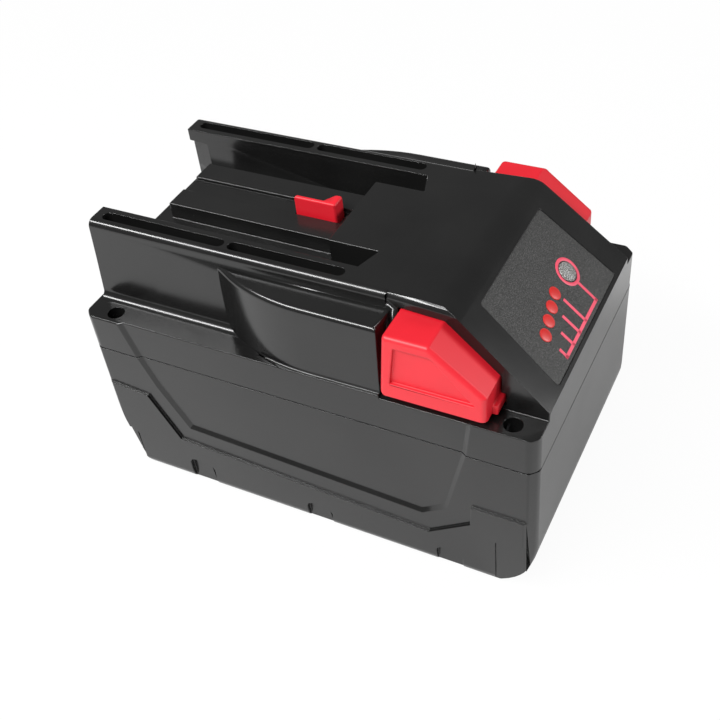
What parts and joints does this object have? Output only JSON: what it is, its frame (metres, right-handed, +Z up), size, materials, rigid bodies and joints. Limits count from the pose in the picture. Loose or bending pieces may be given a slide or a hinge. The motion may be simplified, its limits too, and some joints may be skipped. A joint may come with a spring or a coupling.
{
  "type": "power tool battery pack",
  "caption": "Slide-on battery pack for a cordless power tool: black two-part case with slide rails, sprung red latch worked by side buttons, and a charge gauge on a sloped hood.",
  "frame": {"origin": "middle of the pack's flat bottom", "axes": "+X along the pack towards the gauge end, +Y across it, +Z up from the bottom to the rails"},
  "size_m": [0.151, 0.0922, 0.0967],
  "materials": {
    "shell": "satin moulded",
    "red": "satin moulded",
    "steel": "zinc plated",
    "inner_plastic": "moulded",
    "contact": "plated",
    "board": "solder mask",
    "component": "moulded",
    "holder": "moulded",
    "label": "fine grain film",
    "push_rubber": "matt",
    "lamp": "clear red",
    "nickel": "nickel strip",
    "cell": "shrink sleeve over steel"
  },
  "bodies": {
    "pack": {"lower_case": "shell", "upper_case": "shell", "case_screws": "steel", "latch_bracket": "inner_plastic", "latch_spring": "steel", "button_spring_left": "steel", "button_spring_right": "steel", "terminal_block": "inner_plastic", "contact_positive": "contact", "contact_negative": "contact", "signal_contacts": "contact", "control_board": "board", "board_components": "component", "board_screws": "steel", "cell_holder_left": "holder", "cell_holder_right": "holder", "gauge_label": "label", "gauge_lamps": "lamp", "gauge_board": "board", "gauge_switch": "component", "gauge_screws": "steel", "bus_bar_left_1": "nickel", "bus_bar_left_2": "nickel", "bus_bar_left_3": "nickel", "bus_bar_left_4": "nickel", "bus_bar_right_1": "nickel", "bus_bar_right_2": "nickel", "bus_bar_right_3": "nickel", "bus_bar_right_4": "nickel", "cell_1_1": "cell", "cell_1_2": "cell", "cell_1_3": "cell", "cell_1_4": "cell", "cell_1_5": "cell", "cell_1_6": "cell", "cell_1_7": "cell", "cell_2_1": "cell", "cell_2_2": "cell", "cell_2_3": "cell", "cell_2_4": "cell", "cell_2_5": "cell", "cell_2_6": "cell", "cell_2_7": "cell", "cell_3_1": "cell", "cell_3_2": "cell", "cell_3_3": "cell", "cell_3_4": "cell", "cell_3_5": "cell", "cell_3_6": "cell", "cell_3_7": "cell"},
    "left_button": {"release_button_left": "red"},
    "right_button": {"release_button_right": "red"},
    "latch": {"latch": "red"},
    "gauge_push": {"gauge_button": "push_rubber"}
  },
  "joints": [
    {"name": "left_button_press", "type": "slide", "parent": "pack", "child": "left_button", "axis": [0, -1, 0], "range_m": [0, 0.0055], "stiffness_N_per_m": 900, "springref_m": -0.002, "deforming": ["button_spring_left"]},
    {"name": "right_button_press", "type": "slide", "parent": "pack", "child": "right_button", "axis": [0, 1, 0], "range_m": [0, 0.0055], "stiffness_N_per_m": 900, "springref_m": -0.002, "deforming": ["button_spring_right"]},
    {"name": "latch_drop", "type": "slide", "parent": "pack", "child": "latch", "axis": [0, 0, -1], "range_m": [0, 0.0055], "stiffness_N_per_m": 900, "springref_m": -0.002, "deforming": ["latch_spring"]},
    {"name": "gauge_press", "type": "slide", "parent": "pack", "child": "gauge_push", "axis": [-0.6554, 0, -0.7553], "range_m": [0, 0.0005], "stiffness_N_per_m": 1500, "springref_m": -0.0003}
  ],
  "couplings": [
    {"joint": "right_button_press", "follows": "left_button_press", "ratio": 1},
    {"joint": "latch_drop", "follows": "left_button_press", "ratio": 1}
  ]
}
